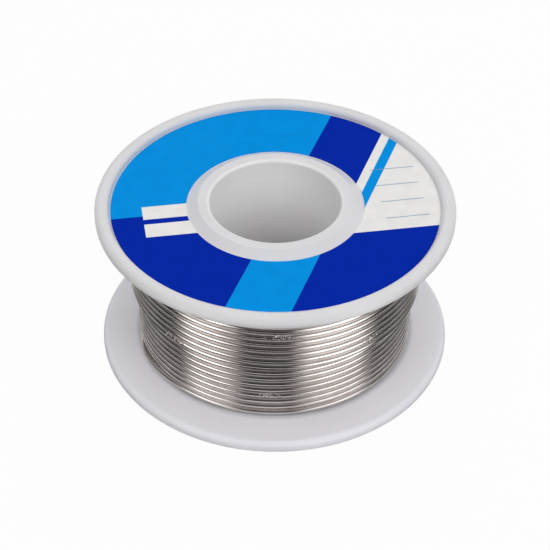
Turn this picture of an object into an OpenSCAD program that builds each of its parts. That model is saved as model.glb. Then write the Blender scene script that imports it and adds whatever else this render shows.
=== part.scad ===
// Solder wire spool: a two-part moulded reel, a face label and the wire wound on it.
// The reel stands on its lower rim: z = 0 is that rim, and +Z is the axis of the spindle bore.

/* [Reel] */
// Diameter of both flanges
flange_d = 57; // [56.5:0.5:70]
// Height over both rims
reel_h = 28; // [25:0.5:33]
// Thickness of a flange at its rim
rim_t = 2.2; // [2.1:0.1:3]
// Rounding of the rim's two outer edges
rim_round = 0.95; // [0.3:0.05:1]
// Depth of the label recess below the rim's crest
recess_depth = 1.1; // [0.8:0.05:1.2]
// Rounding where the rim's crest turns down into the recess
crest_round = 0.75; // [0.2:0.05:0.75]

/* [Spindle bore] */
// Diameter of the bore that turns on a spindle
bore_d = 20.8; // [16:0.2:22]
// Rounding of the bore's mouth
mouth_round = 0.5; // [0.2:0.05:0.7]
// Width of the collar's flat top, measured from the bore
collar_flat = 1.9; // [1:0.1:2.4]
// Width of the slope from the collar's top down to the recess
collar_slope = 1.6; // [0.8:0.1:2]
// How far the collar's top stays below the rim's crest
collar_drop = 0.1; // [0.05:0.05:0.4]
// Wall of the tube round the bore
bore_wall = 1.4; // [1:0.1:2]

/* [Barrel] */
// Diameter of the barrel that the wire is wound on
barrel_d = 40.4; // [38:0.2:41]
// Wall of the barrel
barrel_wall = 1.5; // [1:0.1:1.8]
// Thickness of the ribs between the bore tube and the barrel
rib_t = 1.2; // [0.8:0.1:1.6]
// How far the ribs stay short of the parting plane
rib_short = 1; // [0.4:0.1:3]
// Diameter of the bosses that hold the pegs and their sockets
boss_d = 4.4; // [3.8:0.1:5]
// Diameter of the pegs that join the two halves
peg_d = 2.4; // [1.6:0.1:2.8]
// Length of a peg beyond the parting plane
peg_l = 4; // [2:0.5:6]
// Gap round a peg in its socket
peg_gap = 0.05; // [0.03:0.01:0.1]
// Gap beyond the end of a peg in its socket
peg_end_gap = 0.5; // [0.2:0.1:1]

/* [Label] */
// Thickness of the label
label_t = 0.15; // [0.1:0.05:0.3]
// Outer diameter of the label
label_d = 52; // [46:0.5:52]
// Gap between the label's outer edge and the wall of its recess
label_gap = 0.25; // [0.1:0.05:0.5]
// Gap between the label's inner edge and the collar
label_hole_gap = 0.2; // [0.1:0.05:0.5]

/* [Solder wire] */
// Diameter of the wire
wire_d = 1.2; // [1:0.05:1.6]
// Complete layers on the barrel
full_layers = 2; // [1:1:2]
// Turns of the last layer, counted down from the upper flange
last_turns = 10; // [6:1:13]
// Direction in which the winding climbs onto its last layer, seen from above
climb_azimuth = 90; // [0:5:355]
// Part of a turn that the climb takes
climb_span = 0.15; // [0.1:0.05:0.3]
// Gap left between neighbouring turns of the drawn outer tube
turn_gap = 0.42; // [0.41:0.01:0.46]
// Gap between the barrel and the wire wound on it
barrel_gap = 0.05; // [0.03:0.01:0.1]
// Distance of the anchor hole's centre from its flange
anchor_z = 1.2; // [1.2:0.1:4]
// Gap round the wire in the anchor hole
anchor_gap = 0.3; // [0.2:0.05:0.5]
// Length of the wire's inner end inside the barrel wall
anchor_tail = 1.5; // [1:0.1:2]

/* [Hidden] */

// Smoothness of everything that is turned
$fn = 128;
// Overlap that lets a cut run clear through a surface
cut_over = 1;

flange_r = flange_d / 2;
bore_r = bore_d / 2;
barrel_r = barrel_d / 2;
parting_z = reel_h / 2;
collar_r = bore_r + collar_flat + collar_slope;
recess_r = label_d / 2 + label_gap;

// The ribs, the bosses and the pegs share one circle halfway between the bore tube and the barrel's wall
hub_inner_r = bore_r + bore_wall;
hub_outer_r = barrel_r - barrel_wall;
boss_circle_r = (hub_inner_r + hub_outer_r) / 2;
// Pegs on one half, with as many sockets between them
peg_count = 3;
rib_count = 2 * peg_count;
rib_step = 360 / rib_count;
// How far a rib runs into the wall at each of its ends
rib_bite = 0.4;
// Ribs and bosses start halfway down the flange's web
web_mid_z = (recess_depth + rim_t) / 2;

// The winding fills the width between the flanges, and each layer lies in the grooves of the one below
winding_w = reel_h - 2 * rim_t;
turns = (winding_w - wire_d) / wire_d;
layer_rise = wire_d * cos(30);
first_z = rim_t + wire_d / 2;
last_z = reel_h - first_z;
full_r = barrel_r + wire_d + (full_layers - 1) * layer_rise;
last_r = full_r + layer_rise;

// The drawn tube has six sides, with flats above and below, so neighbouring turns face each other flat to flat
tube_sides = 6;
tube_r = (wire_d - turn_gap) / (2 * cos(180 / tube_sides));
tube_d = 2 * tube_r;
rings_per_turn = 24;
ring_count = ceil(turns * rings_per_turn);
low_path_r = full_r - tube_r;
high_path_r = last_r - tube_r;
climb_turn = turns - last_turns;
start_azimuth = climb_azimuth - 360 * climb_turn;

// Between two rings the tube runs straight, so the core lies below the middle of those straight stretches
chord_sag = high_path_r * (1 - cos(180 / rings_per_turn));
core_gap = 0.03;
low_core_r = low_path_r - tube_r - chord_sag - core_gap;
high_core_r = high_path_r - tube_r - chord_sag - core_gap;
core_step_gap = 0.1;
core_step_z = turn_z(climb_turn) + tube_r + core_step_gap;

// Each end of the drawn tube turns in towards the axis and stands square on the floor of a pocket in the core
end_bend_inner_r = 0.16;
end_bend_r = tube_r + end_bend_inner_r;
end_bend_steps = 4;
pocket_gap = 0.12;
low_end_r = low_path_r - end_bend_r - tube_d;
high_end_r = high_path_r - end_bend_r - tube_d;

// ---- Winding: the route of the tube and its skin ----

// Height of the tube's centre after t turns
function turn_z(t) = first_z + (last_z - first_z) * t / turns;

// A step from 0 to 1 with a soft start and a soft end
function soft_step(x) = let (u = min(max(x, 0), 1)) u * u * (3 - 2 * u);

// Radius of the tube's centre after t turns
function turn_r(t) = low_path_r
    + (high_path_r - low_path_r) * soft_step((t - climb_turn) / climb_span + 1);

// A point from its direction, its distance from the axis, a sideways shift and its height
function polar(azimuth, r, sideways, z) =
    [r * cos(azimuth) - sideways * sin(azimuth), r * sin(azimuth) + sideways * cos(azimuth), z];

// An end run in the direction of its pocket: straight out from the floor, then a quarter bend to the side
function end_run(azimuth, r, z, side) = [
    polar(azimuth, r - end_bend_r - tube_d, 0, z),
    for (i = [0 : end_bend_steps - 1])
        let (a = 90 * i / end_bend_steps)
        polar(azimuth, r - end_bend_r * (1 - sin(a)), side * end_bend_r * (1 - cos(a)), z)
];

function reversed(list) = [for (i = [len(list) - 1 : -1 : 0]) list[i]];

// The turns proper start and stop where the end bends meet them
bend_turns = end_bend_r / low_path_r / (2 * PI);
function ring_turn(i) = bend_turns + (turns - 2 * bend_turns) * i / ring_count;

turn_points = [
    for (i = [0 : ring_count])
        let (t = ring_turn(i))
        polar(start_azimuth + 360 * t, turn_r(t), 0, turn_z(t))
];
end_azimuth = start_azimuth + 360 * turns;
route = concat(
    end_run(start_azimuth, low_path_r, turn_z(0), 1),
    turn_points,
    reversed(end_run(end_azimuth, high_path_r, turn_z(turns), -1))
);
route_last = len(route) - 1;

function unit(v) = v / norm(v);
function heading(i) = unit(route[min(i + 1, route_last)] - route[max(i - 1, 0)]);

// The ring of the tube's corners at point i of the route; the end rings are square to their pocket's axis
function ring_heading(i) = i == 0 ? unit(route[1] - route[0])
    : i == route_last ? unit(route[i] - route[i - 1])
    : heading(i);
function ring(i) =
    let (ahead = ring_heading(i), side = unit(cross(ahead, [0, 0, 1])), up = cross(side, ahead))
    [for (k = [0 : tube_sides - 1])
        route[i] + tube_r * (side * cos(360 * k / tube_sides) + up * sin(360 * k / tube_sides))];

rings = [for (i = [0 : route_last]) ring(i)];
corner_points = [for (r = rings) each r];

// Two triangles for each side between one ring and the next
side_faces = [
    for (i = [0 : route_last - 1], k = [0 : tube_sides - 1])
        let (
            a = i * tube_sides + k,
            b = i * tube_sides + (k + 1) % tube_sides,
            c = a + tube_sides,
            d = b + tube_sides
        )
        each [[a, b, d], [a, d, c]]
];
function cap_faces(first, turned) = [
    for (k = [1 : tube_sides - 2])
        turned ? [first, first + k + 1, first + k] : [first, first + k, first + k + 1]
];
tube_faces = concat(side_faces, cap_faces(0, true), cap_faces(route_last * tube_sides, false));

// Least distance between the corners of a ring and those of the rings about one turn further on
function ring_gap(a, b) = min([for (p = rings[a], q = rings[b]) norm(p - q)]);
near_rings = 3;
least_gap = min([
    for (i = [0 : route_last - rings_per_turn - near_rings], k = [-near_rings : near_rings])
        ring_gap(i, i + rings_per_turn + k)
]);
echo(least_gap_between_turns_mm = least_gap);
echo(turns_drawn = turns, triangles = len(tube_faces));

// ---- Reel ----

// The corner left when a quarter of a circle of radius r is taken from a square, its tip at the origin
module round_corner(r) {
    difference() {
        square(r);
        translate([r, r])
            circle(r);
    }
}

// Everything taken from the outer face: the recess, apart from the collar, and the collar's own drop
module face_cut() {
    difference() {
        translate([bore_r - cut_over, -cut_over])
            square([recess_r - bore_r + cut_over, recess_depth + cut_over]);
        polygon([
            [bore_r, recess_depth + cut_over],
            [bore_r, collar_drop],
            [bore_r + collar_flat, collar_drop],
            [collar_r, recess_depth],
            [collar_r, recess_depth + cut_over]
        ]);
    }
    translate([recess_r, 0])
        round_corner(crest_round);
    translate([bore_r, collar_drop])
        round_corner(mouth_round);
}

// Section of one half, its outer face at z = 0 and the parting plane at the top
module half_section() {
    difference() {
        union() {
            translate([bore_r, 0])
                square([flange_r - rim_round - bore_r, rim_t]);
            translate([bore_r, rim_round])
                square([flange_r - bore_r, rim_t - 2 * rim_round]);
            for (z = [rim_round, rim_t - rim_round])
                translate([flange_r - rim_round, z])
                    circle(rim_round);
            translate([bore_r, rim_round])
                square([bore_wall, parting_z - rim_round]);
            translate([hub_outer_r, rim_round])
                square([barrel_wall, parting_z - rim_round]);
        }
        face_cut();
    }
}

module rib() {
    translate([hub_inner_r - rib_bite, -rib_t / 2, web_mid_z])
        cube([hub_outer_r - hub_inner_r + 2 * rib_bite, rib_t, parting_z - rib_short - web_mid_z]);
}

// Both halves are this one moulding: pegs and sockets take turns round it, so it mates with its own copy
module reel_half() {
    difference() {
        union() {
            rotate_extrude()
                half_section();
            for (i = [0 : rib_count - 1])
                rotate([0, 0, i * rib_step]) {
                    rib();
                    translate([boss_circle_r, 0, web_mid_z])
                        cylinder(d = boss_d, h = parting_z - web_mid_z);
                }
            for (i = [0 : peg_count - 1])
                rotate([0, 0, 2 * i * rib_step])
                    translate([boss_circle_r, 0, parting_z - cut_over])
                        cylinder(d = peg_d, h = peg_l + cut_over);
        }
        for (i = [0 : peg_count - 1])
            rotate([0, 0, (2 * i + 1) * rib_step])
                translate([boss_circle_r, 0, parting_z - peg_l - peg_end_gap])
                    cylinder(d = peg_d + 2 * peg_gap, h = peg_l + peg_end_gap + cut_over);
        anchor_hole();
    }
}

// The hole for the wire's inner end lies between two ribs
anchor_azimuth = rib_step / 2;
module anchor_hole() {
    rotate([0, 0, anchor_azimuth])
        translate([hub_outer_r - cut_over, 0, rim_t + anchor_z])
            rotate([0, 90, 0])
                cylinder(d = wire_d + 2 * anchor_gap, h = barrel_wall + 2 * cut_over);
}

module lower_reel_half() {
    color([0.88, 0.88, 0.89])
        reel_half();
}

module upper_reel_half() {
    color([0.90, 0.90, 0.91])
        translate([0, 0, reel_h])
            rotate([180, 0, rib_step])
                reel_half();
}

// ---- Wire ----

// Pocket in the core for one end of the outer tube
module end_pocket(azimuth, floor_r, z) {
    rotate([0, 0, azimuth])
        translate([floor_r, 0, z])
            rotate([0, 90, 0])
                cylinder(d = tube_d + 2 * pocket_gap, h = last_r - floor_r + cut_over);
}

// The layers below the ones that show, as one ring that steps out where the last layer lies
module wire_inner_layers() {
    core_r = barrel_r + barrel_gap;
    color([0.55, 0.54, 0.53]) {
        difference() {
            rotate_extrude()
                polygon([
                    [core_r, rim_t],
                    [low_core_r, rim_t],
                    [low_core_r, core_step_z],
                    [high_core_r, core_step_z],
                    [high_core_r, reel_h - rim_t],
                    [core_r, reel_h - rim_t]
                ]);
            end_pocket(start_azimuth, low_end_r, turn_z(0));
            end_pocket(end_azimuth, high_end_r, turn_z(turns));
        }
        rotate([0, 0, anchor_azimuth])
            translate([hub_outer_r - anchor_tail, 0, reel_h - rim_t - anchor_z])
                rotate([0, 90, 0])
                    cylinder(d = wire_d, h = low_core_r - wire_d / 2 - hub_outer_r + anchor_tail);
    }
}

module wire_outer_layer() {
    color([0.72, 0.71, 0.69])
        polyhedron(points = corner_points, faces = tube_faces, convexity = 10);
}

// ---- Label ----

module face_label() {
    color([0.10, 0.45, 0.85])
        translate([0, 0, reel_h - recess_depth])
            difference() {
                cylinder(d = label_d, h = label_t);
                translate([0, 0, -cut_over])
                    cylinder(r = collar_r + label_hole_gap, h = label_t + 2 * cut_over);
            }
}

lower_reel_half();
upper_reel_half();
wire_inner_layers();
wire_outer_layer();
face_label();
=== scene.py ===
# %% [markdown] # A spool of solder wire  A small white reel, moulded in two equal halves, holds a few metres
# of solder wire. A printed label lies in the recess of its upper flange. Nothing on it moves, so every piece
# rides on the one body, "root". This script keeps the moulded halves and the label as they are and gives
# them their finishes. It winds the wire anew, because a true winding of round wire is worth more faces than
# the CAD model spends on it.

# %% Load the frame
from collections import namedtuple
from math import cos, degrees, exp, pi, radians, sin, sqrt, tan

import bmesh
import bpy
from mathutils import Matrix, Vector


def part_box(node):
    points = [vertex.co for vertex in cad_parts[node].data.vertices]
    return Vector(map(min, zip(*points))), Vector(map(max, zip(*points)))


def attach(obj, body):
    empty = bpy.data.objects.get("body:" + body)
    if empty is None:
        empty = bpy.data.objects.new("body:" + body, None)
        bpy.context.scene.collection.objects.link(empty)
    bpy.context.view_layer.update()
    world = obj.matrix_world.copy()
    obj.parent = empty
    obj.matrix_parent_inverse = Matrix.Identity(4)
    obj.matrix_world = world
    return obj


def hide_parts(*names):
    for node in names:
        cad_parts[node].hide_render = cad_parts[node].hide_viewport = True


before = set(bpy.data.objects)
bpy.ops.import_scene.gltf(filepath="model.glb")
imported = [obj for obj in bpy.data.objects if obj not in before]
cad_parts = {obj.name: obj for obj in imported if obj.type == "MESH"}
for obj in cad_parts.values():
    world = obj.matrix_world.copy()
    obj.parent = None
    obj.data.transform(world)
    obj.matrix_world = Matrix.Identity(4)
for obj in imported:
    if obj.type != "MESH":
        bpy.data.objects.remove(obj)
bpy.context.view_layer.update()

# %% [markdown]
# ## Sizes
#
# The boxes of two CAD nodes give the sizes that the wire has to fit. The top of the upper half is the height
# of the reel. The lowest point of the winding lies on the lower flange, so it is also the thickness of that
# flange. What the frame can't tell is written as a number where it is first needed, such as the wire's own
# diameter, because the CAD model draws the wire a little thinner to keep its turns apart.

# %% Sizes from the frame
MM = 0.001
REEL_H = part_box("upper_reel_half")[1].z
FLANGE_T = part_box("wire_inner_layers")[0].z
print(f"reel {REEL_H / MM:.2f} mm high, flanges {FLANGE_T / MM:.2f} mm thick")

# %% [markdown]
# ## The camera
#
# A product on a table is often seen from about 40 degrees above it, through a long lens, which keeps the two
# round flanges from looking like an egg. A camera looks along its own -Z axis, so its matrix is built from
# three directions: right, up, and back towards the photographer. A small roll turns it about that last one.

# %% Camera
LOOK_AT = Vector((0.02, 0.0, 12.34)) * MM
CAMERA_DISTANCE = 280.8 * MM
CAMERA_ELEVATION = radians(40.41)
CAMERA_ROLL = radians(0.43)
NEAREST_SEEN = 10 * MM
LENS_MM = 112.45
SENSOR_MM = 36.0


def add_object(name, data):
    """An object that holds this data, linked to the scene."""
    made = bpy.data.objects.new(name, data)
    bpy.context.scene.collection.objects.link(made)
    return made


towards_camera = Vector((0, -cos(CAMERA_ELEVATION), sin(CAMERA_ELEVATION)))
camera_right = Vector((0, 0, 1)).cross(towards_camera).normalized()
camera_up = towards_camera.cross(camera_right)
camera_axes = Matrix((camera_right, camera_up, towards_camera)).transposed().to_4x4()
camera_shift = Matrix.Translation(LOOK_AT + CAMERA_DISTANCE * towards_camera)

camera_data = bpy.data.cameras.new("camera")
camera_data.lens = LENS_MM
camera_data.sensor_width = SENSOR_MM
camera_data.clip_start = NEAREST_SEEN
camera = add_object("camera", camera_data)
camera.matrix_world = camera_shift @ camera_axes @ Matrix.Rotation(CAMERA_ROLL, 4, "Z")
bpy.context.scene.camera = camera
bpy.context.scene.view_settings.view_transform = "Standard"
print("camera at", [round(c / MM, 1) for c in camera.matrix_world.translation], "mm")

# %% [markdown]
# ## Shader maths that reads like maths
#
# A shader is a tree of nodes, and a formula such as `1 - mask * 0.5` takes two Math nodes and four links.
# The small class below wraps an output socket and gives it `+`, `-`, `*` and the rest, so a formula can be
# written as it is, and each operator adds its Math node. `Wired.node` makes any other kind of node: first
# its settings, then the values or links of its inputs.

# %% Shader expressions
class Wired:
    """An output socket of a shader node that works in a formula as a number does."""

    def __init__(self, socket):
        self.socket = socket

    @classmethod
    def node(cls, tree, kind, settings=None, inputs=None, output=0):
        """Adds a node of any kind and wraps one of its outputs, if it has any."""
        made = tree.nodes.new(kind)
        for name, value in (settings or {}).items():
            setattr(made, name, value)
        for key, value in (inputs or {}).items():
            if isinstance(value, Wired):
                tree.links.new(value.socket, made.inputs[key])
            else:
                made.inputs[key].default_value = value
        return cls(made.outputs[output]) if len(made.outputs) else None

    def also(self, output):
        """Another output of the same node."""
        return Wired(self.socket.node.outputs[output])

    def maths(self, operation, *values):
        """A Math node on these values, in the tree of this socket."""
        inputs = dict(enumerate(values))
        return Wired.node(self.socket.id_data, "ShaderNodeMath", {"operation": operation}, inputs)

    def __add__(self, other):
        return self.maths("ADD", self, other)

    def __sub__(self, other):
        return self.maths("SUBTRACT", self, other)

    def __mul__(self, other):
        return self.maths("MULTIPLY", self, other)

    def __truediv__(self, other):
        return self.maths("DIVIDE", self, other)

    def __pow__(self, other):
        return self.maths("POWER", self, other)

    def __gt__(self, other):
        return self.maths("GREATER_THAN", self, other)

    def __lt__(self, other):
        return self.maths("LESS_THAN", self, other)

    def __neg__(self):
        return self.maths("MULTIPLY", self, -1.0)

    def __abs__(self):
        return self.maths("ABSOLUTE", self)

    def __rsub__(self, other):
        return self.maths("SUBTRACT", other, self)

    def __rtruediv__(self, other):
        return self.maths("DIVIDE", other, self)

    __radd__ = __add__
    __rmul__ = __mul__

    def least(self, other):
        """The smaller of the two."""
        return self.maths("MINIMUM", self, other)

    def most(self, other):
        """The greater of the two."""
        return self.maths("MAXIMUM", self, other)

    def rise(self, low, high):
        """0 below low, 1 above high, and a soft step between them."""
        inputs = {"Value": self, "From Min": low, "From Max": high}
        settings = {"interpolation_type": "SMOOTHSTEP"}
        return Wired.node(self.socket.id_data, "ShaderNodeMapRange", settings, inputs)


print("Wired:", Wired.__doc__)

# %% [markdown]
# Every material here starts as an empty tree and ends in one output node. A finished mesh is dressed in its
# material, in place of any that it had. Most colours are given as on a screen, from 0 to 255, but a shader
# wants the linear amount of light, in which the middle of the screen's scale is rather dark.

# %% Materials
WHITE = (1.0, 1.0, 1.0, 1.0)


def new_material(name):
    """A material whose tree is empty, and that tree."""
    material = bpy.data.materials.new(name)
    material.use_nodes = True
    tree = material.node_tree
    tree.nodes.clear()
    return material, tree


def surface(tree, shader, end="ShaderNodeOutputMaterial"):
    """Ends a tree in an output node that shows this shader."""
    Wired.node(tree, end, {}, {"Surface": shader})


def dress(piece, material):
    """Gives a piece this material in place of any that it has."""
    piece.data.materials.clear()
    piece.data.materials.append(material)


def rgb(red, green, blue):
    """A colour given as 0 to 255 on a screen, as the linear values that a shader takes."""
    def linear(c):
        c /= 255
        return c / 12.92 if c <= 0.04045 else ((c + 0.055) / 1.055) ** 2.4
    return (linear(red), linear(green), linear(blue), 1.0)


print("a grey of 128 on a screen is", round(rgb(128, 128, 128)[0], 3), "to a shader")

# %% [markdown]
# ## The studio
#
# The table is a pale sheet that the lens sees as white, while it keeps the soft shadow under the reel. The
# trick is in the Light Path node: for a ray that comes from the camera, or from a mirror reflection, most of
# the sheet's look is a plain glow of strength 1, which is white, and the rest is its real, shaded surface.
# Light that bounces off the sheet onto the reel still comes from the real surface alone.

# %% Floor
FLOOR_HALF = 3.0
FLOOR_COLOUR = rgb(236, 236, 236)
FLOOR_GLOW_SHARE = 0.95
FULL_GLOW = 1.0


def seen_directly(tree):
    """1 for rays from the camera and for their reflections and refractions, else 0."""
    ray = Wired.node(tree, "ShaderNodeLightPath")
    return ray.also("Is Camera Ray").most(ray.also("Is Glossy Ray")).most(ray.also("Is Transmission Ray"))


def floor_sheet():
    material, tree = new_material("studio_floor")
    sheet = Wired.node(tree, "ShaderNodeBsdfDiffuse", {}, {"Color": FLOOR_COLOUR})
    glow = Wired.node(tree, "ShaderNodeEmission", {}, {"Color": WHITE, "Strength": FULL_GLOW})
    share = seen_directly(tree) * FLOOR_GLOW_SHARE
    surface(tree, Wired.node(tree, "ShaderNodeMixShader", {}, {0: share, 1: sheet, 2: glow}))
    return material


def studio_floor():
    mesh = bpy.data.meshes.new("studio_floor")
    shape = bmesh.new()
    bmesh.ops.create_grid(shape, x_segments=1, y_segments=1, size=FLOOR_HALF)
    shape.to_mesh(mesh)
    shape.free()
    return add_object("studio_floor", mesh)


floor = studio_floor()
dress(floor, floor_sheet())
print("floor", 2 * FLOOR_HALF, "m wide, glows", FLOOR_GLOW_SHARE, "where it is seen directly")

# %% [markdown]
# The world round the sheet uses the same trick with two backgrounds. It looks white, and it lights the reel
# with a faint, even fill, as the pale walls of a studio would.

# %% World
WORLD_FILL = 0.2


def studio_world():
    world = bpy.data.worlds.new("studio")
    world.use_nodes = True
    tree = world.node_tree
    tree.nodes.clear()
    fill = Wired.node(tree, "ShaderNodeBackground", {}, {"Color": WHITE, "Strength": WORLD_FILL})
    white = Wired.node(tree, "ShaderNodeBackground", {}, {"Color": WHITE, "Strength": FULL_GLOW})
    both = Wired.node(tree, "ShaderNodeMixShader", {}, {0: seen_directly(tree), 1: fill, 2: white})
    surface(tree, both, end="ShaderNodeOutputWorld")
    return world


bpy.context.scene.world = studio_world()
print("world fill", WORLD_FILL)

# %% [markdown]
# ## The lamps
#
# A soft box is an area lamp here. A large one hangs above the camera, and one as large hangs behind the
# spool, so the faces that look up are the lightest. A smaller one is on the right, and a faint one on the
# left, so the rims shade off gently from right to left. None of them is seen in mirror reflections, because
# the metal gets a room of its own in the next step.

# %% Soft boxes
STUDIO_CENTRE = Vector((0, 0, 14)) * MM
LAMP_DISTANCE = 0.6


def soft_box(name, azimuth, elevation, wide, high, radiance):
    """An area lamp that spans wide by high degrees as seen from the spool, with a given brightness."""
    lamp = bpy.data.lights.new(name, "AREA")
    lamp.shape = "RECTANGLE"
    lamp.size = 2 * LAMP_DISTANCE * tan(radians(wide / 2))
    lamp.size_y = 2 * LAMP_DISTANCE * tan(radians(high / 2))
    lamp.energy = radiance * pi * lamp.size * lamp.size_y
    a, e = radians(azimuth), radians(elevation)
    at = STUDIO_CENTRE + LAMP_DISTANCE * Vector((cos(e) * cos(a), cos(e) * sin(a), sin(e)))
    turn = (STUDIO_CENTRE - at).to_track_quat("-Z", "Y").to_matrix().to_4x4()
    lamp_object = add_object(name, lamp)
    lamp_object.matrix_world = Matrix.Translation(at) @ turn
    lamp_object.visible_glossy = False
    print(f"{name}: {lamp.size:.2f} x {lamp.size_y:.2f} m, {lamp.energy:.2f} W")


soft_box("key_soft_box", azimuth=-90, elevation=60, wide=80, high=50, radiance=1.35)
soft_box("left_soft_box", azimuth=-145, elevation=35, wide=34, high=40, radiance=0.15)
soft_box("right_soft_box", azimuth=-40, elevation=35, wide=44, high=40, radiance=0.95)
soft_box("back_soft_box", azimuth=90, elevation=45, wide=80, high=50, radiance=1.05)

# %% [markdown]
# ## Where a place is
#
# A pattern needs to know where it is. Object coordinates are the safe choice: they are fixed to the piece,
# and since every piece lies in the same frame, the same millimetres hold for all of them. A Mapping node
# scales and turns them, and from its three numbers come the distance from the axis and the direction.

# %% Places as numbers
def place(tree, size=1.0, turn=0.0):
    """Object coordinates in millimetres, scaled by 1 / size and turned about Z, as a vector."""
    at = Wired.node(tree, "ShaderNodeTexCoord", output="Object")
    scale = (1 / (MM * size),) * 3
    inputs = {"Vector": at, "Scale": scale, "Rotation": (0, 0, turn)}
    return Wired.node(tree, "ShaderNodeMapping", {}, inputs)


def parts(tree, vector):
    """The three numbers in a vector."""
    split = Wired.node(tree, "ShaderNodeSeparateXYZ", {}, {0: vector})
    return [split.also(axis) for axis in "XYZ"]


def coordinates(tree, turn=0.0):
    """Object coordinates in millimetres, turned about Z, as three numbers."""
    return parts(tree, place(tree, turn=turn))


def from_axis(x, y):
    """How far a place lies from the Z axis."""
    return (x * x + y * y) ** 0.5


def direction(ahead, aside):
    """The direction of a place in degrees: 0 straight ahead, 90 straight aside."""
    return aside.maths("DEGREES", aside.maths("ARCTAN2", aside, ahead))


def blend(low, high, mask):
    """The number low, and the number high where the mask is 1."""
    return low + (high - low) * mask


print("object coordinates times", round(1 / MM), "are millimetres")

# %% [markdown]
# ## The room that metal sees
#
# Bright metal is a picture of its surroundings, so what stands round it matters more than its own colour.
# Photographers put a tent of dark cloth round shiny things and cut bright windows into it. This tent is a
# drum with a floor and a ceiling, and only mirror reflections see it. Two low windows in front, to the left
# and to the right of the camera, draw the two bright bands on the coil, and the dark cloth between them
# draws the dark band in the middle. Two dimmer windows do the same for someone who looks from behind.
#
# A window runs from one heading to another, in degrees to the right of the camera. Each of its two edges is
# soft over some degrees and may slant, which shifts it by some degrees from the floor up. On the tent's
# floor the window starts to show at the distance `near`, in millimetres, and shows in full from `clear` on.
# Its light fades with the slope, which is the height of a place over its distance.

# %% Windows of the tent
WINDOW_FIELDS = "start start_soft end end_soft near clear glow start_slant end_slant"
Window = namedtuple("Window", WINDOW_FIELDS, defaults=(0.0, 0.0))
TENT_WINDOWS = (
    Window(start=-66.0, start_soft=20.0, end=-32.0, end_soft=28.0, near=38.0, clear=66.0, glow=2.3,
           end_slant=-4.0),
    Window(start=21.0, start_soft=24.0, end=70.0, end_soft=20.0, near=21.0, clear=60.0, glow=1.85,
           start_slant=5.0),
    Window(start=-160.0, start_soft=20.0, end=-132.0, end_soft=20.0, near=34.0, clear=60.0, glow=1.0),
    Window(start=132.0, start_soft=20.0, end=160.0, end_soft=20.0, near=34.0, clear=60.0, glow=1.0),
)
WINDOW_TOP_GLOW = 0.45
WINDOW_FADE_SLOPES = (0.05, 0.45)
SLANT_SLOPES = (0.0, 0.2)


def window_light(window, heading, slope, far):
    """How far a window is open at a place, from 0 to 1, and the light that it gives there."""
    slant = slope.rise(*SLANT_SLOPES)
    start = window.start + window.start_slant * slant
    end = window.end + window.end_slant * slant
    opens = heading.rise(start - window.start_soft / 2, start + window.start_soft / 2)
    closes = heading.rise(end - window.end_soft / 2, end + window.end_soft / 2)
    share = opens * (1 - closes) * far.rise(window.near, window.clear)
    return share, share * blend(window.glow, WINDOW_TOP_GLOW, slope.rise(*WINDOW_FADE_SLOPES))


print("windows at headings", [(window.start, window.end) for window in TENT_WINDOWS])

# %% [markdown]
# The cloth between the windows isn't black all over. Low down it is darkest close to the coil, grows lighter
# towards the horizon, and is lighter still behind the spool. The wall in front is dark again, the sides and
# the top are lighter, and of the walls the back one is darkest. Each of these is one more blend by a mask,
# which rises with the heading, the distance or the slope.

# %% Cloth of the tent
CLOTH_LOW_GLOW = 0.01
CLOTH_HORIZON_GLOW = 0.13
HORIZON_MM = (30.0, 120.0)
CLOTH_LOW_BACK_GLOW = 0.28
LOW_BACK_HEADINGS = (92.0, 112.0)
LOW_BACK_MM = (36.0, 80.0)
CLOTH_WALL_GLOW = 0.05
WALL_SLOPES = (0.0, 0.15)
CLOTH_TOP_GLOW = 0.33
TOP_SLOPES = (0.4, 0.9)
CLOTH_SIDE_GLOW = 0.30
SIDE_HEADINGS = (70.0, 105.0)
SIDE_SLOPES = (0.0, 0.25)


def cloth_light(heading, slope, far):
    """The light of the cloth where there is no window, but for the wall at the back."""
    aside = abs(heading)
    light = blend(CLOTH_LOW_GLOW, CLOTH_HORIZON_GLOW, far.rise(*HORIZON_MM))
    light = blend(light, CLOTH_LOW_BACK_GLOW, aside.rise(*LOW_BACK_HEADINGS) * far.rise(*LOW_BACK_MM))
    light = blend(light, CLOTH_WALL_GLOW, slope.rise(*WALL_SLOPES))
    light = blend(light, CLOTH_TOP_GLOW, slope.rise(*TOP_SLOPES))
    return blend(light, CLOTH_SIDE_GLOW, aside.rise(*SIDE_HEADINGS) * slope.rise(*SIDE_SLOPES))


print("cloth glows from", CLOTH_LOW_GLOW, "close to the coil to", CLOTH_TOP_GLOW, "overhead")

# %% [markdown]
# The tent's glow is worked out from the direction in which a place lies. On the tent's floor, close to the
# coil, a mirror ray doesn't come from the middle of the spool but from the coil's surface, so the heading
# gets a correction there. The wall at the back comes last, because it also dims the tops of the windows
# there. The drum itself is a bmesh cone with its tip cut off, and switches hide it from all other rays.

# %% Reflection tent
TENT_RADIUS = 0.9
TENT_HEIGHT = 1.6
TENT_TAPER = 0.55
TENT_LIFT = 0.2 * MM
TENT_SIDES = 64
COIL_SHIFT_MM = 11.7
COIL_SHIFT_MOST = 0.6
CLOTH_BACK_GLOW = 0.04
BACK_HEADINGS = (115.0, 150.0)
BACK_SLOPES = (0.1, 0.4)


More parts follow.
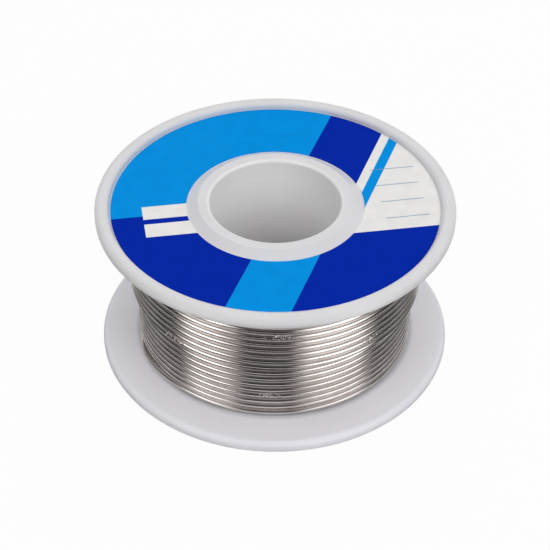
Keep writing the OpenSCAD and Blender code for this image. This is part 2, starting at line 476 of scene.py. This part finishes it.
def tent_cloth():
    material, tree = new_material("reflection_tent")
    x, y, z = coordinates(tree)
    far = from_axis(x, y)
    slope = z / far
    heading = direction(-y, x) / (1 - (COIL_SHIFT_MM / far).least(COIL_SHIFT_MOST))
    open_share, open_light = 0.0, 0.0
    for window in TENT_WINDOWS:
        share, light = window_light(window, heading, slope, far)
        open_share = open_share + share
        open_light = open_light + light
    glow = cloth_light(heading, slope, far) * (1 - open_share) + open_light
    glow = blend(glow, CLOTH_BACK_GLOW, abs(heading).rise(*BACK_HEADINGS) * slope.rise(*BACK_SLOPES))
    grey = Wired.node(tree, "ShaderNodeCombineXYZ", {}, {0: glow, 1: glow, 2: glow})
    surface(tree, Wired.node(tree, "ShaderNodeEmission", {}, {"Color": grey, "Strength": FULL_GLOW}))
    return material


def reflection_tent():
    mesh = bpy.data.meshes.new("reflection_tent")
    shape = bmesh.new()
    bmesh.ops.create_cone(shape, segments=TENT_SIDES, radius1=TENT_RADIUS, radius2=TENT_RADIUS * TENT_TAPER,
                          depth=TENT_HEIGHT, cap_ends=True)
    bmesh.ops.translate(shape, verts=shape.verts, vec=(0, 0, TENT_HEIGHT / 2 + TENT_LIFT))
    shape.to_mesh(mesh)
    shape.free()
    drum = add_object("reflection_tent", mesh)
    for kind in ("camera", "diffuse", "transmission", "shadow", "volume_scatter"):
        setattr(drum, "visible_" + kind, False)
    return drum


tent = reflection_tent()
dress(tent, tent_cloth())
print("tent", 2 * TENT_RADIUS, "m wide and", TENT_HEIGHT, "m high, for mirror rays alone")

# %% [markdown]
# ## Noise, bumps and blended colours
#
# Most finishes here are made by blending by a mask, which is a number from 0 to 1 that says where something
# is. Colours go through a Mix node, because a Math node would turn them grey. Noise gives the small
# unevenness of real surfaces, and a Bump node turns a height into a tilt of the surface.

# %% Noise, bumps and blended colours
BLACK = (0.0, 0.0, 0.0, 1.0)
NOISE_MIDDLE = 0.5


def blend_colour(tree, mask, below, above):
    """The colour below, and the colour above where the mask is 1."""
    inputs = {0: mask, 6: below, 7: above}
    return Wired.node(tree, "ShaderNodeMix", {"data_type": "RGBA"}, inputs, output=2)


def between(value, low, high):
    """A mask that is 1 where a value lies between two others."""
    return (value > low) * (value < high)


def grain(tree, vector, detail=3.0, roughness=0.5):
    """Cloudy noise from 0 to 1 along a vector."""
    inputs = {"Vector": vector, "Scale": 1.0, "Detail": detail, "Roughness": roughness}
    return Wired.node(tree, "ShaderNodeTexNoise", {}, inputs)


def swing(noise, size):
    """A noise as a change of up to half this size, up or down."""
    return size * (noise - NOISE_MIDDLE)


def bump(tree, height, strength, depth_mm, under=None):
    """The tilt of a surface by a height, of which 1 is worth depth_mm, on top of another bump if given."""
    inputs = {"Height": height, "Strength": strength, "Distance": depth_mm * MM}
    if under is not None:
        inputs["Normal"] = under
    return Wired.node(tree, "ShaderNodeBump", {}, inputs)


print("helpers for finishes:", [helper.__name__ for helper in (blend_colour, between, grain, swing, bump)])

# %% [markdown]
# ## White moulded plastic
#
# The reel is moulded in an opaque white plastic. Its colour is a cool grey-white, never pure white, and it
# isn't the same all over. The upper flange is painted a little darker than the lower one, as painted shade.
# The wall of the bore has painted light near its mouth and painted shade towards its foot. Next to the
# winding a grey ring of painted contact shadow lies on both flanges. These zones follow the height and the
# distance from the axis, so each is a soft step in one of them.

# %% Zones of the plastic
PLASTIC_CLEAN = rgb(247, 246, 252)
# painted shade: the upper flange gets a darker white than the lower one, so its faces that look up show less
# light
PLASTIC_PAINTED_SHADE = rgb(231, 230, 232)
UPPER_SHADE_RISES_MM = (18.0, 25.0)
# painted light and painted shade in the bore: near-white near its mouth, darker towards its foot
BORE_PAINTED_LIGHT = rgb(254, 253, 254)
BORE_PAINTED_SHADE = rgb(210, 208, 208)
BORE_LIGHTENS_MM = (6.0, 24.0)
BORE_EDGE_MM = (10.5, 11.0)
# painted contact shadow: a grey ring on both flanges, right next to the winding
CONTACT_SHADOW_COLOUR = rgb(52, 50, 50)
CONTACT_SHADOW_SHARE = 0.37
CONTACT_SHADOW_FADES_MM = (22.2, 23.4)
CONTACT_SHADOW_FOOT_MM = 1.6
CONTACT_SHADOW_TOP_MM = REEL_H / MM - CONTACT_SHADOW_FOOT_MM


def plastic_zones(tree):
    """The plastic's colour in its zones, and the mask of the painted contact shadow that lies over them."""
    x, y, z = coordinates(tree)
    radius = from_axis(x, y)
    outside = radius.rise(*BORE_EDGE_MM)
    # the bore wall: painted shade at its foot, rising into painted light near its mouth
    bore = blend_colour(tree, z.rise(*BORE_LIGHTENS_MM), BORE_PAINTED_SHADE, BORE_PAINTED_LIGHT)
    # painted shade over the upper flange, from the height where this soft step rises
    faces = blend_colour(tree, z.rise(*UPPER_SHADE_RISES_MM), PLASTIC_CLEAN, PLASTIC_PAINTED_SHADE)
    groove = between(z, CONTACT_SHADOW_FOOT_MM, CONTACT_SHADOW_TOP_MM)
    # painted contact shadow between the flanges, fading out away from the wire
    contact_shadow = groove * outside * (1 - radius.rise(*CONTACT_SHADOW_FADES_MM))
    return blend_colour(tree, outside, bore, faces), contact_shadow


print(f"grey rub up to {CONTACT_SHADOW_FADES_MM[1]} mm from the axis, {CONTACT_SHADOW_FOOT_MM} to {CONTACT_SHADOW_TOP_MM:.1f} mm up")

# %% [markdown]
# Close to the eye such a part isn't flat either. The mould leaves a fine, even grain that softens
# reflections. The melt cools into slow waves, which also shade the colour a little. Handling leaves faint
# rubbed spots that are rougher than the rest. All three come from noise.

# %% Reel plastic
GRAIN_MM, GRAIN_HEIGHT = 0.25, 0.6
WAVES_MM, WAVES_HEIGHT = 9.0, 3.0
WAVES_SHADE, WAVES_SHADE_FROM = 0.03, (0.3, 0.7)
SPOTS_MM, SPOTS_FROM = 1.6, (0.60, 0.72)
PLASTIC_ROUGHNESS = 0.34
WAVES_ROUGHNESS = 0.10
SPOTS_ROUGHNESS = 0.14


def reel_plastic():
    material, tree = new_material("reel_plastic")
    fine = grain(tree, place(tree, GRAIN_MM))
    waves = grain(tree, place(tree, WAVES_MM), detail=1.0)
    spots = grain(tree, place(tree, SPOTS_MM), detail=6.0, roughness=0.7).rise(*SPOTS_FROM)
    colour, contact_shadow = plastic_zones(tree)
    colour = blend_colour(tree, waves.rise(*WAVES_SHADE_FROM) * WAVES_SHADE, colour, BLACK)
    shader = Wired.node(tree, "ShaderNodeBsdfPrincipled", {}, {
        # the painted contact shadow is blended over the plastic's colour here
        "Base Color": blend_colour(tree, contact_shadow * CONTACT_SHADOW_SHARE, colour, CONTACT_SHADOW_COLOUR),
        "Roughness": PLASTIC_ROUGHNESS + swing(waves, WAVES_ROUGHNESS) + SPOTS_ROUGHNESS * spots,
        "Normal": bump(tree, fine * GRAIN_HEIGHT + waves * WAVES_HEIGHT, strength=0.35, depth_mm=0.02),
        "IOR": 1.5,
    })
    surface(tree, shader)
    return material


plastic = reel_plastic()
for half_name in ("lower_reel_half", "upper_reel_half"):
    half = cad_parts[half_name]
    dress(half, plastic)
    print(half_name, "has", len(half.data.polygons), "faces and", plastic.name)

# %% [markdown]
# ## The printed label
#
# A round sticker of coated paper fills the recess. Its print is a plain pattern of colour fields: slanted
# bands of two blues, a white field with ruled lines to write on, and two white boxes. Each field is a mask,
# which is 1 inside the field and 0 outside, and a straight edge is just a comparison of `x * a + y * b` with
# a number. The whole print is turned a few degrees, because nobody sticks a label on dead straight.

# %% Layout of the label
SKY = rgb(0, 148, 231)
ROYAL = rgb(0, 41, 170)
PAPER = rgb(240, 239, 237)
RULE = rgb(120, 150, 190)

LABEL_TURN = radians(9.3)
MIDDLE_LINE = 0.0
LOWER_FIELD_TOP = -9.0
BAND_SLANT = radians(62)
BAND_STARTS, BAND_ENDS = 1.0, 10.5
STRIPE_STARTS, STRIPE_ENDS = 12.0, 13.6
BOX_LEFT, BOX_RIGHT = -21.0, -13.0
BOX_TOPS = (2.3, -2.1)
BOX_H = 3.2
RULES = (6.4, 2.2, -2.0, -6.2)
RULE_LEFT, RULE_RIGHT = 16.6, 23.6
RULE_T = 0.16


def label_fields(tree):
    """The mask and the ink of each field, each laid over the ones before it."""
    x, y, _ = coordinates(tree, turn=-LABEL_TURN)
    across = x * sin(BAND_SLANT) - y * cos(BAND_SLANT)
    band = between(across, BAND_STARTS, BAND_ENDS)
    low = y < LOWER_FIELD_TOP
    fields = [
        (y < MIDDLE_LINE, ROYAL),
        (band, ROYAL),
        (across > BAND_ENDS, PAPER),
        (between(across, STRIPE_STARTS, STRIPE_ENDS), SKY),
        (low, ROYAL),
        (low * band, SKY),
    ]
    for top in BOX_TOPS:
        fields.append((between(x, BOX_LEFT, BOX_RIGHT) * between(y, top - BOX_H, top), PAPER))
    for foot in RULES:
        fields.append((between(x, RULE_LEFT, RULE_RIGHT) * between(y, foot, foot + RULE_T), RULE))
    return fields


print("label print turned", round(degrees(LABEL_TURN), 1), "degrees, with", len(RULES), "ruled lines")

# %% [markdown]
# The ink lies on paper, so a fine fibre and a cloudy mottle show in its surface, and the mottle also darkens
# the ink a little. The paper reflects only weakly, which keeps the blues deep.

# %% Label print
FIBRE_MM = 0.12
MOTTLE_MM, MOTTLE_HEIGHT = 2.5, 2.0
MOTTLE_SHADE, MOTTLE_SHADE_FROM = 0.06, (0.35, 0.75)
MOTTLE_ROUGHNESS = 0.12
PRINT_ROUGHNESS = 0.42


def label_print():
    material, tree = new_material("label_print")
    colour = SKY
    for mask, ink in label_fields(tree):
        colour = blend_colour(tree, mask, colour, ink)
    fibre = grain(tree, place(tree, FIBRE_MM), detail=4.0)
    mottle = grain(tree, place(tree, MOTTLE_MM), detail=5.0)
    shade = mottle.rise(*MOTTLE_SHADE_FROM) * MOTTLE_SHADE
    shader = Wired.node(tree, "ShaderNodeBsdfPrincipled", {}, {
        "Base Color": blend_colour(tree, shade, colour, BLACK),
        "Roughness": PRINT_ROUGHNESS + swing(mottle, MOTTLE_ROUGHNESS),
        "Normal": bump(tree, fibre + mottle * MOTTLE_HEIGHT, strength=0.25, depth_mm=0.01),
        "Specular IOR Level": 0.02,
    })
    surface(tree, shader)
    return material


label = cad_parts["face_label"]
dress(label, label_print())
print(label.name, "has", len(label.data.polygons), "faces and", label.data.materials[0].name)

# %% [markdown]
# ## The route of the wire
#
# The wire is wound in layers. Its inner end comes through a hole in the barrel just under the upper flange.
# The first layer goes down, the second comes up again, and the last goes down over it and stops halfway. So
# the turns of the last layer lean the other way from those that show below it. Each layer lies in the
# grooves of the one before, which makes it stand only cos(30) of a diameter further out.
#
# A point on the route is given by its azimuth, its radius and its height, and the wire's own diameter sets
# where the layers and their lowest and highest turns lie.

# %% Sizes of the winding
WIRE_D = 1.2 * MM
WIRE_R = WIRE_D / 2
BARREL_R = 20.2 * MM
LAYERS = 3
LAYER_RISE = WIRE_D * cos(radians(30))
LAYER_RADII = [BARREL_R + WIRE_R + n * LAYER_RISE for n in range(LAYERS)]
LOW_Z = FLANGE_T + WIRE_R
HIGH_Z = REEL_H - LOW_Z
STEPS_PER_TURN = 88


def wire_point(azimuth, radius, z):
    """A point on the route, from its azimuth in degrees, its radius and its height."""
    a = radians(azimuth)
    return Vector((radius * cos(a), radius * sin(a), z))


print("layers at", [round(radius / MM, 2) for radius in LAYER_RADII], "mm from the axis")

# %% [markdown]
# The first layer starts inside the barrel. The wire comes out through the anchor hole, bends a quarter turn
# in its own diameter to lie along the barrel, and goes down in a plain helix, turn against turn.

# %% First layer
ANCHOR_AZIMUTH = 30.0
ANCHOR_Z = REEL_H - FLANGE_T - WIRE_D
ANCHOR_TAIL = 1.5 * MM
BARREL_WALL = 1.5 * MM
BEND_STEPS = 6


def first_layer_points():
    """From the anchor hole down to the lower flange, and the azimuth at which this layer ends."""
    radius = LAYER_RADII[0]
    hole = BARREL_R - BARREL_WALL
    points = [wire_point(ANCHOR_AZIMUTH, at, ANCHOR_Z) for at in (hole - ANCHOR_TAIL, hole)]
    for k in range(BEND_STEPS):
        bend = radians(90.0 * k / BEND_STEPS)
        azimuth = ANCHOR_AZIMUTH + degrees(WIRE_D * (1 - cos(bend)) / radius)
        points.append(wire_point(azimuth, radius - WIRE_D * (1 - sin(bend)), ANCHOR_Z))
    start = degrees(WIRE_D / radius) / 360.0
    turns = (ANCHOR_Z - LOW_Z) / WIRE_D
    count = int(turns * STEPS_PER_TURN)
    for i in range(count + 1):
        turn = start + (turns - start) * i / count
        points.append(wire_point(ANCHOR_AZIMUTH + 360 * turn, radius, ANCHOR_Z - WIRE_D * turn))
    return points, ANCHOR_AZIMUTH + 360.0 * turns


first_points, first_end = first_layer_points()
print(len(first_points), "points on the first layer, which ends at azimuth", round(first_end % 360, 1))

# %% [markdown]
# The first layer ends on the lower flange. From there the wire lies flat on that flange and climbs outwards
# onto the second layer before it reaches the front. On its way it stands proud for a moment. From here the
# route is a function of the number of turns made since the front, and soft steps keep it free of kinks.
#
# At the top the second layer meets the upper flange, is squeezed over the turn below it, and so rolls out to
# the radius of the last layer. How far out follows from two circles that touch: the distance between the two
# centres is one diameter.

# %% Second layer
FRONT = -90.0
PITCH = 1.223 * MM
FIRST_TURN_LIFT = 0.10 * MM
SECOND_STARTS = -1.0 + ((first_end - FRONT) % 360.0) / 360.0
CLIMB_TURNS = 0.32
PROUD = 0.66 * MM
PROUD_AT = -0.18
PROUD_BEFORE, PROUD_AFTER = 0.028, 0.050
SQUEEZED_FROM = 17.0


def step(x):
    """A soft step from 0 to 1 as x goes from 0 to 1."""
    x = min(max(x, 0.0), 1.0)
    return x * x * (3 - 2 * x)


def second_layer_z(turn):
    """Height of the second layer: flat on the flange at first, then rising to the upper flange."""
    rising = LOW_Z + PITCH * max(turn, 0.0) + FIRST_TURN_LIFT * step(turn)
    return min(rising, HIGH_Z)


def second_layer_radius(turn):
    """Radius of the second layer: it climbs out at the start, and rolls out where it is squeezed."""
    radius = LAYER_RADII[1]
    gap = second_layer_z(turn) - second_layer_z(turn - 1.0)
    if turn > SQUEEZED_FROM and gap < WIRE_D:
        radius += min(sqrt(WIRE_D ** 2 - gap ** 2), LAYER_RISE)
    if turn < SECOND_STARTS + CLIMB_TURNS:
        radius -= LAYER_RISE * (1 - step((turn - SECOND_STARTS) / CLIMB_TURNS))
    spread = PROUD_BEFORE if turn < PROUD_AT else PROUD_AFTER
    return radius + PROUD * exp(-((turn - PROUD_AT) / spread) ** 2)


print("second layer starts", round(-SECOND_STARTS, 2), "turns before the front")

# %% [markdown]
# A real machine doesn't lay a perfect helix. The turns of the last layer lie a little tilted, and those of
# both layers wander a few hundredths of a millimetre, by slow sine waves whose lengths don't share a beat.
# The wander grows over the first turn and dies out over the last half turn, so the two ends stay in place.

# %% Last layer and the whole route
LAST_STARTS = 18.686
LAST_TURNS = 9.89
LAST_ENDS = LAST_STARTS + LAST_TURNS
LAST_TILT = 0.14 * MM
WANDER_LENGTHS = (0.83, 1.37, 2.61, 0.49)
WANDER_Z, WANDER_Z_PHASE = 0.035 * MM, 1.3
WANDER_R, WANDER_R_PHASE = 0.022 * MM, 2.9
WANDER_STOPS_TURNS = 0.5


def wander(turn, size, phase):
    """A slow, uneven drift: a few sine waves over the turns."""
    waves = [sin(2 * pi * turn / length + phase * (k + 1)) for k, length in enumerate(WANDER_LENGTHS)]
    return size * sum(waves) / len(waves)


def last_layer_z(turn):
    """Height of the last layer, which comes down again from the upper flange."""
    since = turn - LAST_STARTS
    tilt = LAST_TILT * (sin(2 * pi * turn) - sin(2 * pi * LAST_STARTS)) * step(since)
    return HIGH_Z - PITCH * since - tilt


def upper_points():
    """The second and the last layer, as points from the climb at the bottom to the free end."""
    points = []
    turn = SECOND_STARTS + 1.0 / STEPS_PER_TURN
    while turn < LAST_ENDS:
        if turn < LAST_STARTS:
            radius, z = second_layer_radius(turn), second_layer_z(turn)
        else:
            radius, z = LAYER_RADII[2], last_layer_z(turn)
        share = step(turn) * step((LAST_ENDS - turn) / WANDER_STOPS_TURNS)
        radius += wander(turn, WANDER_R, WANDER_R_PHASE) * share
        z += wander(turn, WANDER_Z, WANDER_Z_PHASE) * share
        points.append(wire_point(FRONT + 360.0 * turn, radius, min(max(z, LOW_Z), HIGH_Z)))
        turn += 1.0 / STEPS_PER_TURN
    return points


wire_points = first_points + upper_points()
wire_length = sum((b - a).length for a, b in zip(wire_points, wire_points[1:]))
print(f"{len(wire_points)} points, {wire_length:.2f} m of wire")

# %% [markdown]
# ## From the route to a wire
#
# A curve object with a round bevel turns a list of points into a tube, and keeps its section square to the
# route at each point. The twist setting Z_UP stops the section from turning as it goes round, so a pattern
# that follows the wire's own UV map stays in line. Then the curve becomes a mesh, which can take a material
# that reads that UV map. The two end caps come with points of their own, which are merged with the tube's.

# %% Wire mesh
BEVEL_RESOLUTION = 6
MERGE_DISTANCE = 0.0005 * MM


def wire_curve(points):
    """A curve through the points with straight pieces between them, and a round bevel."""
    curve = bpy.data.curves.new("solder_wire", "CURVE")
    curve.dimensions = "3D"
    curve.twist_mode = "Z_UP"
    curve.bevel_depth = WIRE_R
    curve.bevel_resolution = BEVEL_RESOLUTION
    curve.use_fill_caps = True
    spline = curve.splines.new("POLY")
    spline.points.add(len(points) - 1)
    for spot, point in zip(spline.points, points):
        spot.co = (*point, 1.0)
    return curve


def wire_mesh(points):
    """The tube of that curve as a closed mesh with smooth faces."""
    holder = add_object("solder_wire_route", wire_curve(points))
    bpy.context.view_layer.update()
    mesh = bpy.data.meshes.new_from_object(holder.evaluated_get(bpy.context.evaluated_depsgraph_get()))
    bpy.data.objects.remove(holder)
    mesh.name = "solder_wire"
    shape = bmesh.new()
    shape.from_mesh(mesh)
    bmesh.ops.remove_doubles(shape, verts=shape.verts, dist=MERGE_DISTANCE)
    bmesh.ops.recalc_face_normals(shape, faces=shape.faces)
    for face in shape.faces:
        face.smooth = True
    shape.to_mesh(mesh)
    shape.free()
    return mesh


wire = add_object("solder_wire", wire_mesh(wire_points))
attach(wire, "root")
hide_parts("wire_outer_layer", "wire_inner_layers")
print("wire mesh:", len(wire.data.polygons), "faces, UV maps", [u.name for u in wire.data.uv_layers])

# %% [markdown]
# ## Drawn solder
#
# Solder is soft, bright and slightly warm in colour. It is drawn through a die, which leaves fine streaks
# along the wire, so a reflection is sharp along it and smeared across it. The shader's own anisotropy does
# the smearing, and noise that is stretched along the UV map adds the single streaks. On this wire U runs
# along the length and V once round it, so V is laid on a circle to let the noise close on itself.

# %% Streaks along the wire
STREAK_LENGTH_MM = 9.0
STREAKS_ROUND = 5.0


def along_wire(tree):
    """A vector for noise that is drawn out along the wire and closes round it."""
    u, v, _ = parts(tree, Wired.node(tree, "ShaderNodeTexCoord", output="UV"))
    length = u * (wire_length / MM / STREAK_LENGTH_MM)
    angle = v * (2 * pi)
    ring = [angle.maths(wave, angle) * STREAKS_ROUND for wave in ("COSINE", "SINE")]
    return Wired.node(tree, "ShaderNodeCombineXYZ", {}, {0: length, 1: ring[0], 2: ring[1]})


print(round(wire_length / MM / STREAK_LENGTH_MM), "streak lengths along the wire")

# %% [markdown]
# Such a soft metal also gets nicked where the guide of the winding machine slipped. There are a few such
# places only. Each is a small window in azimuth and height, and inside it a coarse noise dents the surface.

# %% Nicked places
NICK_PLACES = ((-132.0, 14.2), (-89.0, 19.7), (-92.0, 6.6), (-50.0, 14.6), (38.0, 17.0), (131.0, 9.0))
NICK_HALF_DEGREES = 7.0
NICK_HALF_MM = 0.75
NICK_EDGE = (0.05, 0.45)


def nick_places(tree):
    """1 in the middle of each nicked place, falling to 0 at its edge."""
    x, y, z = coordinates(tree)
    azimuth = direction(x, y)
    mask = 0.0
    for at_azimuth, at_height in NICK_PLACES:
        along = 1 - abs(azimuth - at_azimuth) / NICK_HALF_DEGREES
        across = 1 - abs(z - at_height) / NICK_HALF_MM
        mask = mask + along.most(0.0) * across.most(0.0)
    return mask.rise(*NICK_EDGE)


print(len(NICK_PLACES), "nicked places, up to", 2 * NICK_HALF_MM, "mm high")

# %% [markdown]
# The colour wavers between a bright and a duller tone of the metal, in clouds of a few millimetres, and the
# roughness wavers with it. Two bumps lie on each other: the faint streaks and grain that the die leaves, and
# the nicks, which are far deeper. The two tones are the shares of red, green and blue light that the metal
# reflects, so they need no change from a screen's scale.

# %% Solder
SOLDER_BRIGHT = (0.80, 0.745, 0.715, 1)
SOLDER_DULL = (0.70, 0.645, 0.615, 1)
DULL_FROM = (0.35, 0.7)
METAL_GRAIN_MM, METAL_GRAIN_HEIGHT = 0.3, 0.3
CLOUD_MM = 4.0
STREAK_HEIGHT = 2.0
NICK_GRAIN_MM, NICK_FROM = 0.55, (0.48, 0.60)
SOLDER_ROUGHNESS = 0.13
CLOUD_ROUGHNESS, METAL_GRAIN_ROUGHNESS, STREAK_ROUGHNESS = 0.06, 0.03, 0.06


def solder():
    material, tree = new_material("solder")
    fine = grain(tree, place(tree, METAL_GRAIN_MM), detail=4.0)
    cloud = grain(tree, place(tree, CLOUD_MM), detail=3.0)
    streak = grain(tree, along_wire(tree), detail=2.0)
    nick = grain(tree, place(tree, NICK_GRAIN_MM), detail=1.0).rise(*NICK_FROM) * nick_places(tree)
    drawn = bump(tree, METAL_GRAIN_HEIGHT * fine + streak * STREAK_HEIGHT, strength=0.05, depth_mm=0.01)
    uneven = SOLDER_ROUGHNESS + swing(cloud, CLOUD_ROUGHNESS) + swing(fine, METAL_GRAIN_ROUGHNESS)
    shader = Wired.node(tree, "ShaderNodeBsdfPrincipled", {}, {
        "Base Color": blend_colour(tree, cloud.rise(*DULL_FROM), SOLDER_BRIGHT, SOLDER_DULL),
        "Roughness": uneven + swing(streak, STREAK_ROUGHNESS),
        "Metallic": 1.0,
        "Normal": bump(tree, nick, strength=0.8, depth_mm=0.06, under=drawn),
        "Anisotropic": 0.3,
        "Anisotropic Rotation": 0.25,
    })
    surface(tree, shader)
    return material


dress(wire, solder())
print(wire.name, "is finished in", wire.data.materials[0].name)

# %% [markdown] ## Done
